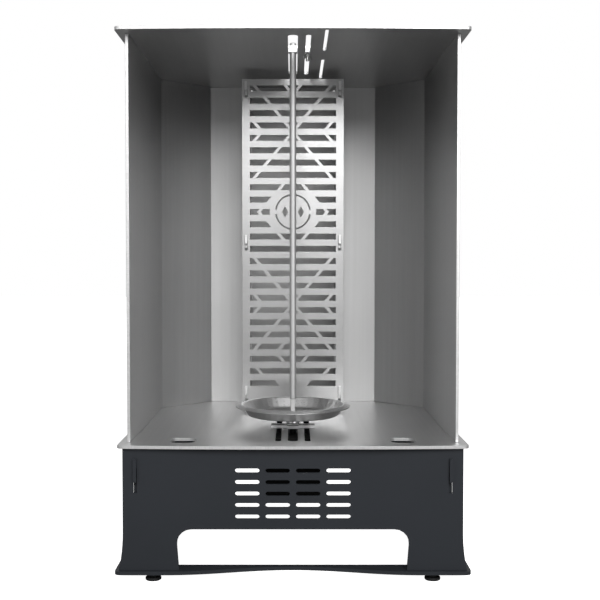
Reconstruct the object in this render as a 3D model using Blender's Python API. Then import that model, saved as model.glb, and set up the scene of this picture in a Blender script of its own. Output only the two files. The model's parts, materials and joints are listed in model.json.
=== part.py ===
"""Open-front vertical rotisserie oven, built from laser-cut sheet.

Run with: blender --background --python part.py
Metres, +Z up. The front faces -Y and the origin is on the ground under the middle of the oven.
"""

from math import cos, pi, radians, sin, sqrt, tau

import bmesh
import bpy
from mathutils import Vector

MM = 0.001

# Stock and clearances
SHEET = 4.5 * MM              # chamber, grate and base sheet
THIN = 1.5 * MM               # motor case sheet
GAP = 0.3 * MM                # between faces that rest on each other
SLOT_PLAY = 0.9 * MM          # between a tab and the inner side of its slot

# Heights above the ground
BOTTOM_Z = 12 * MM            # underside of the bottom plate
BOTTOM_T = 5 * MM
DECK_Z = 187.3 * MM           # underside of the deck
CHAMBER_H = 565.7 * MM        # deck top to roof underside
DECK_TOP = DECK_Z + SHEET
ROOF_Z = DECK_TOP + CHAMBER_H
ROOF_TOP = ROOF_Z + SHEET
BASE_Z0 = BOTTOM_Z + BOTTOM_T + GAP
BASE_Z1 = DECK_Z - GAP

# Roof, deck and bottom plate outlines
PLATE_X = 242.5 * MM
PLATE_Y = 230 * MM
PLATE_BOW = 6.5 * MM
CORNER_R = 8 * MM

# Chamber
WALL_X = 226.5 * MM           # inner face of a side wall
WALL_FRONT = -207 * MM
BACK_Y = 210 * MM             # front face of the back wall
BACK_HALF = 151 * MM
FACET_X = 144 * MM            # where the 45 degree facet meets the back wall
TAB_Y = (-126 * MM, -25 * MM)
BACK_TAB_X = 80 * MM
BACK_TAB_W = 60 * MM

# Spit and carriage
SPIT_Y = -80 * MM
ROD_R = 5 * MM
ROD_TOP = 772 * MM
SHANK_HALF = 3.5 * MM         # half the side of the square lower end of the rod
SHANK_TOP = 236 * MM
STUD_X = 21 * MM
STUD_R = 3 * MM
CARRIAGE_T = 5 * MM
SHAFT_R = 5 * MM
PAN_Z = 211.3 * MM
SOCKET_Z = 199.3 * MM

# Slots in the deck and the roof run from front to back
SLOT_Y = (-196 * MM, 87 * MM)
ROOF_SLOT_B_X = 22 * MM
ROOF_SLOT_C_X = 46.7 * MM

# Guide bar on the roof, with two keys that hang in the roof slots
GUIDE_X = (-17 * MM, 34 * MM)
GUIDE_Y = (-8 * MM, 15 * MM)  # from the spit's axis, as are the keys and the bolt
KEY_Y = (-7 * MM, 6 * MM)
KEY_A_HALF = 6.7 * MM
KEY_B_HALF = 3.3 * MM
BOLT_DY = 6 * MM
BOLT_R = 2.5 * MM
BOLT_BELOW = 11 * MM          # reach of the bolt under the roof

# Drip pan
PAN_T = 1.5 * MM
PAN_FLOOR_R = 66 * MM
PAN_LIP_R = (78.4 * MM, 86.6 * MM)
PAN_DEPTH = 17.5 * MM         # underside to the highest ring, at the lip's inner side
PAN_LIP_DROP = 3.1 * MM

# Firebox side plates and floor
FIREBOX_TOP = 739 * MM
FIREBOX_SETBACK = 6 * MM      # of the front edge between the hook bosses
BOSS_ABOVE, BOSS_BELOW = 12 * MM, 6.7 * MM
FIREBOX_TAB_Z = (260 * MM, 640 * MM)
FIREBOX_TAB_H = 40 * MM
FLOOR_Z = 203 * MM
FLOOR_TABS = (90 * MM, 160 * MM)
FLOOR_TAB_W = 25 * MM

# Fire grate
GRATE_Y = 63 * MM             # front face
GRATE_HALF = 84 * MM
GRATE_Z = (198 * MM, 745.5 * MM)
ROW_HALF = 71 * MM
ROW_TOP_Z = 730.3 * MM        # middle of the first row
ROW_PITCH = 20.33 * MM
ROW_H = 9.6 * MM
ROWS = 25
STRUT_W = 6.6 * MM            # measured along X
STRUT_SLOPE = 0.8387          # X per Z
HOOK_X = 77.5 * MM
HOOK_TOPS = (741.6 * MM, 489.2 * MM, 238.1 * MM)
LIP_H = 15 * MM
NECK_H = 5.4 * MM
EMBLEM_R = 29.5 * MM

# Base
BASE_FRONT = -225 * MM        # front face of the front panel
BASE_HALF = 235 * MM
BOTTOM_X = 246.5 * MM         # half the width of the bottom plate
BOTTOM_HOLLOW = 23 * MM
HOLLOW_HALF = 175 * MM        # half the length of the hollow in its front and rear edges
BASE_FLARE = 5.8 * MM
FLARE_Z = 70 * MM
SIDE_X = 217.8 * MM           # middle of a base side panel
ARCH_Z = 74.5 * MM
ARCH_TOP_HALF = 162 * MM
ARCH_FOOT_HALF = 157.5 * MM
ARCH_R = 20 * MM
BASE_HOOK = (140.5 * MM, 160 * MM, 172.7 * MM)   # bottom, top of the neck, top of the lip
BASE_SLOT_Z0 = 124.9 * MM
BASE_SLOT_PLAY = (0.6 * MM, 0.15 * MM)           # beside the hook, on its inner and outer side
FOOT_X = 195 * MM
FOOT_Y = 209 * MM
FOOT_STUD_R = 4 * MM

# Motor
CASE_HALF = 49 * MM
CASE_Y = (-140 * MM, -24 * MM)
CASE_Z = (103 * MM, 181 * MM)

FINISHES = {
    # name: colour, roughness, metallic
    "stainless": ((0.56, 0.56, 0.56), 0.34, 1.0),
    "stainless_bright": ((0.70, 0.70, 0.70), 0.22, 1.0),
    "powder_coat": ((0.032, 0.037, 0.044), 0.55, 0.0),
    "zinc": ((0.62, 0.63, 0.64), 0.35, 1.0),
    "black_paint": ((0.010, 0.010, 0.011), 0.5, 0.0),
    "black_plastic": ((0.015, 0.015, 0.016), 0.45, 0.0),
}


# ---------------------------------------------------------------- scene helpers

def clear_scene():
    for obj in list(bpy.data.objects):
        bpy.data.objects.remove(obj, do_unlink=True)


def finish_material(name):
    material = bpy.data.materials.get(name)
    if material is None:
        colour, roughness, metallic = FINISHES[name]
        material = bpy.data.materials.new(name)
        material.use_nodes = True
        shader = material.node_tree.nodes["Principled BSDF"]
        shader.inputs["Base Color"].default_value = (*colour, 1)
        shader.inputs["Roughness"].default_value = roughness
        shader.inputs["Metallic"].default_value = metallic
        material.diffuse_color = (*colour, 1)
    return material


def joint_empty(name, at, parent=None):
    """An empty on a joint's axis, for the moving pieces to hang from."""
    empty = bpy.data.objects.new(name, None)
    bpy.context.collection.objects.link(empty)
    empty.empty_display_size = 0.02
    empty["place"] = at
    attach(empty, at, parent)
    return empty


def attach(obj, at, parent):
    if parent is None:
        obj.location = at
        return
    obj.parent = parent
    obj.location = Vector(at) - Vector(parent["place"])


def add_object(name, bm, finish, at=(0, 0, 0), turn=(0, 0, 0), parent=None):
    """Turn a bmesh into a named object at a place in the oven's own frame."""
    bmesh.ops.recalc_face_normals(bm, faces=bm.faces)
    mesh = bpy.data.meshes.new(name)
    bm.to_mesh(mesh)
    bm.free()
    obj = bpy.data.objects.new(name, mesh)
    bpy.context.collection.objects.link(obj)
    obj.data.materials.append(finish_material(finish))
    obj.rotation_euler = turn
    attach(obj, at, parent)
    return obj


UPRIGHT = (radians(90), 0, 0)              # outline in X and Z, thickness towards -Y
SIDEWAYS = (radians(90), 0, radians(90))   # outline in Y and Z, thickness towards +X


# ---------------------------------------------------------------- outlines

def rect(x0, x1, y0, y1):
    return [(x0, y0), (x1, y0), (x1, y1), (x0, y1)]


def circle(x, y, r, count=24):
    return [(x + r * cos(tau * i / count), y + r * sin(tau * i / count)) for i in range(count)]


def slot(x, y0, y1, width, steps=6):
    """A round-ended slot that runs along Y."""
    r = width / 2
    near = [(x - r * cos(pi * i / steps), y0 + r - r * sin(pi * i / steps)) for i in range(steps + 1)]
    far = [(x + r * cos(pi * i / steps), y1 - r + r * sin(pi * i / steps)) for i in range(steps + 1)]
    return near + far


def turned(points):
    """Swap the two directions of an outline, so that a slot runs across."""
    return [(y, x) for x, y in points]


def filleted(corners, steps=5):
    """Round the corners of a closed outline. Each corner is (x, y, radius)."""
    points = []
    count = len(corners)
    for i, (x, y, r) in enumerate(corners):
        here = Vector((x, y))
        if r == 0:
            points.append((x, y))
            continue
        before = (Vector(corners[i - 1][:2]) - here).normalized()
        after = (Vector(corners[(i + 1) % count][:2]) - here).normalized()
        half = before.angle(after) / 2
        middle = here + (before + after).normalized() * (r / sin(half))
        reach = sqrt((middle - here).length_squared - r * r)
        start = here + before * reach - middle
        sweep = start.angle_signed(here + after * reach - middle)
        for k in range(steps + 1):
            turn = -sweep * k / steps
            points.append((middle.x + start.x * cos(turn) - start.y * sin(turn),
                           middle.y + start.x * sin(turn) + start.y * cos(turn)))
    return points


def round_rect(x0, x1, y0, y1, r, steps=5):
    return filleted([(x, y, r) for x, y in rect(x0, x1, y0, y1)], steps)


def plate_outline(half_x, front, rear, radius, steps=24):
    """A plate whose front and rear edges follow functions of x."""
    reach = half_x - radius
    xs = [-reach + 2 * reach * i / steps for i in range(steps + 1)]
    points = [(x, front(x)) for x in xs]
    arc = [(sin(pi / 2 * i / 5), cos(pi / 2 * i / 5)) for i in range(1, 5)]
    points += [(reach + radius * s, front(reach) + radius - radius * c) for s, c in arc]
    points += [(half_x, front(reach) + radius), (half_x, rear(reach) - radius)]
    points += [(reach + radius * c, rear(reach) - radius + radius * s) for s, c in arc]
    points += [(x, rear(x)) for x in reversed(xs)]
    points += [(-reach - radius * s, rear(reach) - radius + radius * c) for s, c in arc]
    points += [(-half_x, rear(reach) - radius), (-half_x, front(reach) + radius)]
    points += [(-reach - radius * c, front(reach) + radius - radius * s) for s, c in arc]
    return points


# ---------------------------------------------------------------- solids

def filled(outlines):
    """Fill an outline and cut its holes, as triangles in the XY plane."""
    bm = bmesh.new()
    for outline in outlines:
        verts = [bm.verts.new((x, y, 0)) for x, y in outline]
        for a, b in zip(verts, verts[1:] + verts[:1]):
            bm.edges.new((a, b))
    bmesh.ops.triangle_fill(bm, use_beauty=True, edges=bm.edges)
    return bm


def thicken(bm, thickness):
    faces = bmesh.ops.extrude_face_region(bm, geom=bm.faces[:])["geom"]
    moved = [v for v in faces if isinstance(v, bmesh.types.BMVert)]
    bmesh.ops.translate(bm, verts=moved, vec=(0, 0, thickness))
    return bm


def sheet(name, outline, holes, thickness, finish, at=(0, 0, 0), turn=(0, 0, 0), parent=None):
    """A flat sheet part: an outline with holes, given a thickness."""
    bm = thicken(filled([outline] + holes), thickness)
    return add_object(name, bm, finish, at, turn, parent)


def folded_sheet(name, outline, path, thickness, finish, parent=None):
    """A bent sheet: an outline in (distance along path, height), folded along a path in plan.

    The path is the left side of the sheet as the path runs, and the thickness goes to its right.
    """
    bm = filled([outline])
    legs = [(Vector(b) - Vector(a)) for a, b in zip(path, path[1:])]
    stations = [0.0]
    for leg in legs:
        stations.append(stations[-1] + leg.length)
    for s in stations[1:-1]:
        bmesh.ops.bisect_plane(bm, geom=bm.verts[:] + bm.edges[:] + bm.faces[:],
                               plane_co=(s, 0, 0), plane_no=(1, 0, 0), dist=1e-7)
    thicken(bm, thickness)
    rights = [Vector((leg.y, -leg.x)).normalized() for leg in legs]
    for vert in bm.verts:
        s, height, depth = vert.co
        i = max(k for k in range(len(legs)) if s >= stations[k] - 1e-6)
        place = Vector(path[i]) + legs[i].normalized() * (s - stations[i])
        right = rights[i]
        if i > 0 and abs(s - stations[i]) < 1e-6:
            mitre = (rights[i - 1] + rights[i]).normalized()
            right = mitre / mitre.dot(rights[i])
        place += right * depth
        vert.co = (place.x, place.y, height)
    return add_object(name, bm, finish, parent=parent)


def loft(rings, closed=False):
    """Join rings of equally many points; cap the ends, or close the last ring on the first."""
    bm = bmesh.new()
    rows = [[bm.verts.new(point) for point in ring] for ring in rings]
    pairs = list(zip(rows, rows[1:]))
    if closed:
        pairs.append((rows[-1], rows[0]))
    else:
        bm.faces.new(reversed(rows[0]))
        bm.faces.new(rows[-1])
    for low, high in pairs:
        for i in range(len(low)):
            k = (i + 1) % len(low)
            bm.faces.new((low[i], low[k], high[k], high[i]))
    return bm


def ring(r, z, count=32):
    return [(r * cos(tau * (i + 0.5) / count), r * sin(tau * (i + 0.5) / count), z) for i in range(count)]


def square_ring(half, z, count=32):
    """A square with as many points as a ring, spread by angle."""
    points = []
    for i in range(count):
        c, s = cos(tau * (i + 0.5) / count), sin(tau * (i + 0.5) / count)
        scale = half / max(abs(c), abs(s))
        points.append((c * scale, s * scale, z))
    return points


def lathe(profile, closed=False, count=32):
    return loft([ring(r, z, count) for r, z in profile], closed)


def fold_arc(corner, before, after, radius, steps=4):
    """The points of a round bend between two straight runs."""
    points = filleted([(*before, 0), (*corner, radius), (*after, 0)], steps)
    return points[1:-1]


def join_shape(obj, shape):
    """Union a hidden shape onto an object."""
    shape.hide_render = True
    shape.display_type = "WIRE"
    join = obj.modifiers.new("join_" + shape.name, "BOOLEAN")
    join.operation = "UNION"
    join.object = shape


# ---------------------------------------------------------------- chamber

def bow(x):
    return PLATE_BOW * (1 - (x / PLATE_X) ** 2)


def tab_slots():
    """Slots for the tabs of the side walls and the back wall."""
    holes = []
    for side in (-1, 1):
        inner = side * (WALL_X - SLOT_PLAY)
        outer = side * (WALL_X + SHEET + GAP)
        holes.append(rect(min(inner, outer), max(inner, outer), TAB_Y[0] - GAP, TAB_Y[1] + GAP))
        middle = side * BACK_TAB_X
        reach = BACK_TAB_W / 2 + GAP
        holes.append(rect(middle - reach, middle + reach, BACK_Y - GAP, BACK_Y + SHEET + GAP))
    return holes


def roof_plate():
    holes = [
        slot(0, *SLOT_Y, 14 * MM),
        slot(ROOF_SLOT_B_X, *SLOT_Y, 7.3 * MM),
        slot(ROOF_SLOT_C_X, -226 * MM, -96 * MM, 5 * MM),
        slot(ROOF_SLOT_C_X, -31 * MM, 122 * MM, 5 * MM),
    ]
    outline = plate_outline(PLATE_X, lambda x: -PLATE_Y - bow(x), lambda x: PLATE_Y + bow(x), CORNER_R)
    sheet("roof_plate", outline, holes + tab_slots(), SHEET, "stainless", at=(0, 0, ROOF_Z))


def deck_plate():
    side_slots = [slot(side * STUD_X, *SLOT_Y, 8.6 * MM) for side in (-1, 1)]
    corner_holes = [
        round_rect(min(side * 137.5, side * 172.6) * MM, max(side * 137.5, side * 172.6) * MM,
                   -208 * MM, -170 * MM, 10 * MM)
        for side in (-1, 1)
    ]
    holes = [slot(0, *SLOT_Y, 14.6 * MM)] + side_slots + corner_holes + tab_slots()
    outline = plate_outline(PLATE_X, lambda x: -PLATE_Y - bow(x), lambda x: PLATE_Y + bow(x), CORNER_R)
    sheet("deck_plate", outline, holes, SHEET, "stainless", at=(0, 0, DECK_Z))


def tabbed(s0, s1, z0, z1, tabs):
    """An outline in (distance, height) with the same tabs at its top and its foot."""
    foot = [(s0, z0)]
    top = []
    for a, b in tabs:
        foot += [(a, z0), (a, z0 - SHEET), (b, z0 - SHEET), (b, z0)]
        top += [(a, z1), (a, z1 + SHEET), (b, z1 + SHEET), (b, z1)]
    return foot + [(s1, z0), (s1, z1)] + list(reversed(top)) + [(s0, z1)]


def side_wall(name, side):
    """Side and 45 degree facet in one bent sheet, with its tabs through the roof and the deck."""
    fold_y = BACK_Y - (WALL_X - FACET_X)
    inset = (SHEET / sqrt(2)) + GAP          # keeps the facet's outer corner off the back wall
    front = (side * WALL_X, WALL_FRONT)
    fold = (side * WALL_X, fold_y)
    end = (side * (FACET_X + inset), BACK_Y - inset)
    path = [front] + fold_arc(fold, front, end, 6 * MM) + [end]
    thickness = SHEET if side > 0 else -SHEET
    length = sum((Vector(b) - Vector(a)).length for a, b in zip(path, path[1:]))
    tab = (TAB_Y[0] - WALL_FRONT, TAB_Y[1] - WALL_FRONT)
    outline = tabbed(0, length, DECK_TOP + GAP, ROOF_Z - GAP, [tab])
    folded_sheet(name, outline, path, thickness, "stainless")


def back_wall():
    tabs = [(x - BACK_TAB_W / 2, x + BACK_TAB_W / 2) for x in (-BACK_TAB_X, BACK_TAB_X)]
    outline = tabbed(-BACK_HALF, BACK_HALF, DECK_TOP + GAP, ROOF_Z - GAP, tabs)
    pin_holes = [circle(side * 74 * MM, 751 * MM, 2 * MM, 12) for side in (-1, 1)]
    reach = SHEET / 2 + GAP
    slots = [
        rect(side * HOOK_X - reach, side * HOOK_X + reach, z - GAP, z + FIREBOX_TAB_H + GAP)
        for side in (-1, 1) for z in FIREBOX_TAB_Z
    ]
    sheet("back_wall", outline, pin_holes + slots, SHEET, "stainless",
          at=(0, BACK_Y + SHEET, 0), turn=UPRIGHT)


# ---------------------------------------------------------------- firebox and grate

def firebox_side(name, side):
    """Upright plate with three hooks on bosses at the front and two tabs through the back wall."""
    front, rear = GRATE_Y + SHEET + GAP, BACK_Y - GAP
    setback = front + FIREBOX_SETBACK
    lip_back, lip_front = GRATE_Y - GAP, GRATE_Y - GAP - SHEET
    bottom = DECK_TOP + GAP
    points = []
    for top in HOOK_TOPS:
        low = top - LIP_H
        neck = low + NECK_H
        boss_top, boss_foot = neck + BOSS_ABOVE, low - BOSS_BELOW
        if boss_top < FIREBOX_TOP:
            points += [(setback, boss_top + FIREBOX_SETBACK), (front, boss_top)]
        else:
            points.append((front, FIREBOX_TOP))
        points += [(front, neck), (lip_back, neck), (lip_back, top), (lip_front, top), (lip_front, low),
                   (front, low), (front, boss_foot), (setback, boss_foot - FIREBOX_SETBACK)]
    points += [(setback, bottom), (rear, bottom)]
    for z in FIREBOX_TAB_Z:
        tab_end = rear + SHEET + GAP
        points += [(rear, z), (tab_end, z), (tab_end, z + FIREBOX_TAB_H), (rear, z + FIREBOX_TAB_H)]
    points.append((rear, FIREBOX_TOP))
    floor_slots = [
        rect(y - FLOOR_TAB_W / 2 - GAP, y + FLOOR_TAB_W / 2 + GAP, FLOOR_Z - GAP, FLOOR_Z + SHEET + GAP)
        for y in FLOOR_TABS
    ]
    sheet(name, points, floor_slots, SHEET, "stainless",
          at=(side * HOOK_X - SHEET / 2, 0, 0), turn=SIDEWAYS)


def firebox_floor():
    half = HOOK_X - SHEET / 2 - GAP
    wide = HOOK_X + SHEET / 2
    y0, y1 = GRATE_Y + SHEET + GAP, BACK_Y - GAP
    right = [(half, y0)]
    for y in FLOOR_TABS:
        a, b = y - FLOOR_TAB_W / 2, y + FLOOR_TAB_W / 2
        right += [(half, a), (wide, a), (wide, b), (half, b)]
    right.append((half, y1))
    left = [(-x, y) for x, y in reversed(right)]
    air_holes = [
        slot(x * MM, y0 + 15 * MM, y1 - 15 * MM, 8 * MM)
        for x in (-50, -30, -10, 10, 30, 50)
    ]
    sheet("firebox_floor", right + left, air_holes, SHEET, "stainless", at=(0, 0, FLOOR_Z))


def row_z(row):
    return ROW_TOP_Z - row * ROW_PITCH


def strut_lines():
    """Middle lines of the left half's struts, as (x, z) pairs at the pattern's slope."""
    edge = -ROW_HALF
    k = STRUT_SLOPE
    cross = [(row_z(a) + row_z(a + 1)) / 2 for a in (3, 17)]    # where struts meet on the middle line
    lines = []
    for z in cross:
        lines += [((0, z), (edge, z + -edge / k)), ((0, z), (edge, z - -edge / k))]
        tip = edge + 20 * MM
        lines += [((tip, z), (edge, z + 20 * MM / k)), ((tip, z), (edge, z - 20 * MM / k))]
    centre = row_z(10)
    rise = 54 * MM / k
    lines += [((-54 * MM, centre), (0, centre + rise)), ((-54 * MM, centre), (0, centre - rise))]
    top_v = (row_z(0) + row_z(1)) / 2
    lines.append(((0, top_v), (-30 * MM, top_v + 30 * MM / k)))
    low = (row_z(21) + row_z(22)) / 2
    lines += [((-28 * MM, low), (0, low + 28 * MM / k)), ((-28 * MM, low), (0, low - 28 * MM / k))]
    end = (row_z(23) + row_z(24)) / 2
    lines.append(((-47.6 * MM, end), (edge, end + (47.6 * MM + edge) / -k)))
    return lines


def line_x(line, z):
    (xa, za), (xb, zb) = line
    return xa + (xb - xa) * (z - za) / (zb - za)


def row_windows(row):
    """The left half's windows in one row: pieces of the row between its struts.

    Each is four corners. A strut that crosses the row takes STRUT_W out of it along its slope.
    """
    middle = row_z(row)
    low, high = middle - ROW_H / 2, middle + ROW_H / 2
    solid = []                # (x at the row's foot, x at its top) of each strut's middle
    for line in strut_lines():
        z0, z1 = sorted((line[0][1], line[1][1]))
        if z0 - 1 * MM <= low and z1 + 1 * MM >= high:
            solid.append((line_x(line, low), line_x(line, high)))
    solid.sort(key=lambda pair: pair[0] + pair[1])
    cursor = (-ROW_HALF, -ROW_HALF)
    windows = []
    for at_low, at_high in solid:
        stop = (at_low - STRUT_W / 2, at_high - STRUT_W / 2)
        windows.append((cursor, stop))
        cursor = (max(at_low + STRUT_W / 2, -ROW_HALF), max(at_high + STRUT_W / 2, -ROW_HALF))
    windows.append((cursor, None))
    return low, high, windows


def window_outline(low, high, start, stop):
    """A window's corners, where a pointed end loses the part that would cross itself."""
    (a_low, a_high), (b_low, b_high) = start, stop
    wide_low, wide_high = b_low - a_low, b_high - a_high
    if wide_low <= 0 and wide_high <= 0:
        return None
    if wide_low > 1 * MM and wide_high > 1 * MM:
        return [(a_low, low), (b_low, low), (b_high, high), (a_high, high)]
    share = wide_low / (wide_low - wide_high)
    z = low + (high - low) * share
    x = a_low + (a_high - a_low) * share
    if wide_low > wide_high:
        corners = [(a_low, low), (b_low, low), (x, z)]
    else:
        corners = [(x, z), (b_high, high), (a_high, high)]
    if max(wide_low, wide_high) < 4 * MM:
        return None
    return corners


def mirrored(points):
    return [(-x, z) for x, z in reversed(points)]


def plain_row(row):
    """A row's windows on both sides; the window at the middle line is one piece."""
    low, high, windows = row_windows(row)
    outlines = []
    for start, stop in windows:
        if stop is None:
            inner = min(start)
            if inner > -2.5 * MM:
                continue
            outlines.append([(start[0], low), (-start[0], low), (-start[1], high), (start[1], high)]
                            if max(start) < -1 * MM else pointed_middle(low, high, start))
            continue
        corners = window_outline(low, high, start, stop)
        if corners:
            outlines += [corners, mirrored(corners)]
    return outlines


def pointed_middle(low, high, start):
    """The middle window where two struts meet inside the row: a triangle."""
    at_low, at_high = start
    share = at_low / (at_low - at_high)
    z = low + (high - low) * share
    if at_low < at_high:
        return [(at_low, low), (-at_low, low), (0, z)]
    return [(0, z), (-at_high, high), (at_high, high)]


def emblem_rows():
    """Rows 10 to 12: short windows either side of a solid middle, with a plain ring and a lozenge."""
    outlines = []
    for row in (9, 11):
        low, high, windows = row_windows(row)
        corners = window_outline(low, high, *windows[0])
        outlines += [corners, mirrored(corners)]
    middle = row_z(10)
    h = ROW_H / 2
    notch = [(-ROW_HALF, middle - h), (-56 * MM, middle - h), (-60 * MM, middle), (-56 * MM, middle + h),
             (-ROW_HALF, middle + h)]
    dart = [(-53 * MM, middle), (-49.5 * MM, middle - h), (-38.5 * MM, middle - h),
            (-38.5 * MM, middle + h), (-49.5 * MM, middle + h)]
    for shape in (notch, dart):
        outlines += [shape, mirrored(shape)]
    for start in (8, 188):
        angles = [radians(start + 164 * i / 20) for i in range(21)]
        outer = [(EMBLEM_R * cos(a), middle + EMBLEM_R * sin(a)) for a in angles]
        inner_r = EMBLEM_R - 2.5 * MM
        inner = [(inner_r * cos(a), middle + inner_r * sin(a)) for a in reversed(angles)]
        outlines.append(outer + inner)
    for side in (-1, 1):
        lozenge = [(side * 8 * MM, middle), (side * 13 * MM, middle + 9 * MM),
                   (side * 18 * MM, middle), (side * 13 * MM, middle - 9 * MM)]
        outlines.append(lozenge if side > 0 else list(reversed(lozenge)))
    return outlines


def last_row():
    low, high = row_z(24) - ROW_H / 2, row_z(24) + ROW_H / 2
    wide = [(-ROW_HALF, low), (-23 * MM, low), (-29.6 * MM, high), (-ROW_HALF, high)]
    peak = [(-6 * MM, low), (6 * MM, low), (0, high)]
    return [wide, mirrored(wide), peak]


def grate(parent):
    outlines = []
    for row in range(ROWS - 1):
        if row not in (9, 10, 11):
            outlines += plain_row(row)
    outlines += emblem_rows() + last_row()
    for side in (-1, 1):
        for top in HOOK_TOPS:
            low = top - LIP_H
            reach = SHEET / 2 + GAP
            outlines.append(rect(side * HOOK_X - reach, side * HOOK_X + reach,
                                 low - 11 * MM, low + NECK_H + GAP))
    frame = round_rect(-GRATE_HALF, GRATE_HALF, GRATE_Z[0], GRATE_Z[1], 1.5 * MM, 2)
    sheet("grate", frame, outlines, SHEET, "stainless", at=(0, GRATE_Y + SHEET, 0),
          turn=UPRIGHT, parent=parent)


# ---------------------------------------------------------------- base

def base_flare(z):
    return BASE_FLARE * max(0, (FLARE_Z - z) / (FLARE_Z - BASE_Z0)) ** 2


def arched_outline(half, flare, z_top, arch_shift=0.0, hooks=()):
    """A panel on two legs. hooks lists (z, reach) steps that stand out of its upright edges."""
    heights = [BASE_Z0 + (FLARE_Z - BASE_Z0) * i / 6 for i in range(7)] if flare else [BASE_Z0]
    right = [(half + (base_flare(z) if flare else 0), z) for z in heights]
    right += [(half + reach, z) for reach, z in hooks]
    right.append((half, z_top))
    foot = (ARCH_FOOT_HALF - arch_shift, BASE_Z0)
    shoulder = (ARCH_TOP_HALF - arch_shift, ARCH_Z)
    arch = filleted([(*foot, 0), (*shoulder, ARCH_R), (-shoulder[0], ARCH_Z, ARCH_R), (-foot[0], foot[1], 0)])
    left = [(-x, z) for x, z in reversed(right)]
    return right + left + list(reversed(arch))


def vent_slots():
    """A plain block of cooling slots for the motor."""
    return [
        turned(slot(z * MM, x * MM - 17 * MM, x * MM + 17 * MM, 6 * MM, 4))
        for z in (156, 140, 124, 108, 92) for x in (-63, -21, 21, 63)
    ]


def end_panel(name, side, vents):
    """Front or rear panel of the base, with the slots that the side panels hook into."""
    inner, outer = SIDE_X - SHEET / 2 - BASE_SLOT_PLAY[0], SIDE_X + SHEET / 2 + BASE_SLOT_PLAY[1]
    slots = [
        rect(min(s * inner, s * outer), max(s * inner, s * outer), BASE_SLOT_Z0, BASE_HOOK[1] + GAP)
        for s in (-1, 1)
    ]
    face = side * -BASE_FRONT
    at_y = face + SHEET if side < 0 else face
    sheet(name, arched_outline(BASE_HALF, True, BASE_Z1), slots + vents, SHEET, "powder_coat",
          at=(0, at_y, 0), turn=UPRIGHT)


def base_side_panel(name, side):
    """Side panel, with an upturned hook at each end."""
    half = -BASE_FRONT - SHEET - GAP
    low, neck, top = BASE_HOOK
    back, front = SHEET + 2 * GAP, 2 * SHEET + GAP
    hooks = [(0, low), (front, low), (front, top), (back, top), (back, neck), (0, neck)]
    outline = arched_outline(half, False, BASE_Z1, 12 * MM, hooks)
    sheet(name, outline, [], SHEET, "powder_coat", at=(side * SIDE_X - SHEET / 2, 0, 0), turn=SIDEWAYS)


def bottom_plate():
    """A frame whose front and rear edges are hollowed between the legs."""
    def edge(x):
        if abs(x) >= HOLLOW_HALF:
            return PLATE_Y
        return PLATE_Y - BOTTOM_HOLLOW * (0.5 + 0.5 * cos(pi * x / HOLLOW_HALF))

    opening = round_rect(-190 * MM, 190 * MM, -197 * MM, 197 * MM, 12 * MM)
    feet = [circle(sx * FOOT_X, sy * FOOT_Y, FOOT_STUD_R + GAP) for sx in (-1, 1) for sy in (-1, 1)]
    outline = plate_outline(BOTTOM_X, lambda x: -edge(x), edge, CORNER_R, 48)
    sheet("bottom_plate", outline, [opening] + feet, BOTTOM_T, "powder_coat", at=(0, 0, BOTTOM_Z))


def levelling_foot(name, at, parent):
    """Pad, hexagon collar and stud in one turned piece."""
    profile = [(10 * MM, 0), (11 * MM, 0.8 * MM), (11 * MM, 3.6 * MM), (10 * MM, 4.6 * MM),
               (6.5 * MM, 5.2 * MM), (6.5 * MM, 11.7 * MM), (FOOT_STUD_R, 11.7 * MM),
               (FOOT_STUD_R, 27 * MM), (3.2 * MM, 27.8 * MM)]
    add_object(name, lathe(profile, count=24), "black_plastic", at=at, parent=parent)


def jam_nut(name, at):
    hexagon = circle(0, 0, 7.5 * MM, 6)
    bore = circle(0, 0, FOOT_STUD_R + GAP, 16)
    sheet(name, hexagon, [bore], 5.5 * MM, "zinc", at=at)


# ---------------------------------------------------------------- carriage, motor and spit

def carriage_plate(parent):
    bar, stem, stem_y = 33 * MM, 9.25 * MM, 15 * MM
    half_bar = 9 * MM
    quarter = [(bar, half_bar), (stem, half_bar), (stem, stem_y)]
    outline = [(bar, -half_bar)] + quarter + [(-x, y) for x, y in reversed(quarter)]
    outline += [(-bar, -half_bar), (-stem, -half_bar), (-stem, -stem_y), (stem, -stem_y), (stem, -half_bar)]
    holes = [circle(0, 0, SHAFT_R + 0.4 * MM)]
    holes += [circle(side * STUD_X, 0, STUD_R + GAP, 16) for side in (-1, 1)]
    sheet("carriage_plate", outline, holes, CARRIAGE_T, "stainless_bright",
          at=(0, SPIT_Y, DECK_TOP + GAP), parent=parent)


def bearing_block(parent):
    z = DECK_TOP + GAP + CARRIAGE_T + GAP
    outline = round_rect(-9.25 * MM, 9.25 * MM, -9.25 * MM, 9.25 * MM, 1 * MM, 3)
    sheet("bearing_block", outline, [circle(0, 0, SHAFT_R + 0.4 * MM)], SOCKET_Z - GAP - z,
          "stainless_bright", at=(0, SPIT_Y, z), parent=parent)


def motor_case(parent):
    """Three walls in one bent sheet, closed by a top, a rear plate and a bottom cover."""
    front, rear = CASE_Y
    corners = [(-CASE_HALF, rear), (-CASE_HALF, front), (CASE_HALF, front), (CASE_HALF, rear)]
    path = [corners[0]]
    path += fold_arc(corners[1], corners[0], corners[2], 3 * MM, 3)
    path += fold_arc(corners[2], corners[1], corners[3], 3 * MM, 3)
    path.append(corners[3])
    length = sum((Vector(b) - Vector(a)).length for a, b in zip(path, path[1:]))
    folded_sheet("motor_case", rect(0, length, *CASE_Z), path, -THIN, "black_paint", parent=parent)


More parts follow.
